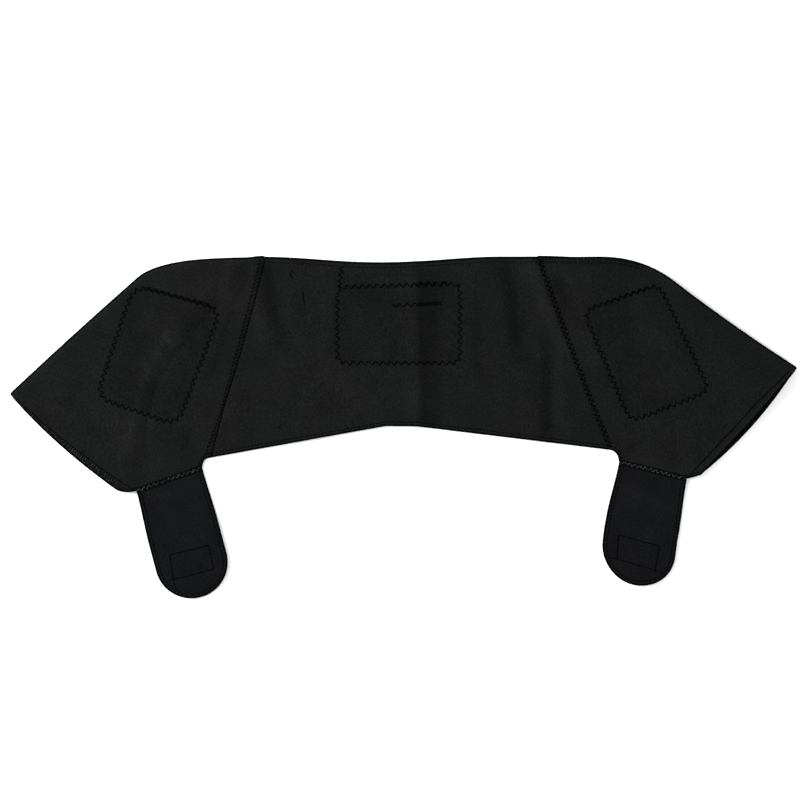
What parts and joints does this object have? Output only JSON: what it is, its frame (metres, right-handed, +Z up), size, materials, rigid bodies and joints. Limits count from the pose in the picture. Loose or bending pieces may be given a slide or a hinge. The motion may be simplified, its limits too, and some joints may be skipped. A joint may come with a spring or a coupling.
{
  "type": "posture corrector brace",
  "caption": "Soft brace for both shoulders, laid flat: a back panel, two folded shoulder caps that make arm sleeves, underarm straps with hook patches, and sewn-in pads.",
  "frame": {"origin": "on the floor, under the middle of the brace's outline", "axes": "+Z up, away from the floor and out of the brace's outer face; +Y towards the neck edge; +X towards the right of the picture"},
  "size_m": [0.8228, 0.3596, 0.0181],
  "materials": {
    "panel_jersey": "black knitted jersey over neoprene foam",
    "strap_jersey": "black stretch loop jersey over thin neoprene foam",
    "hook_tape": "black woven hook tape",
    "pad_cloth": "dark matt cloth"
  },
  "bodies": {
    "root": {"back_panel": "panel_jersey", "left_shoulder_cap": "panel_jersey", "right_shoulder_cap": "panel_jersey", "left_strap": "strap_jersey", "right_strap": "strap_jersey", "left_hook_patch": "hook_tape", "right_hook_patch": "hook_tape", "back_pad": "pad_cloth", "left_shoulder_pad": "pad_cloth", "right_shoulder_pad": "pad_cloth"}
  },
  "joints": []
}
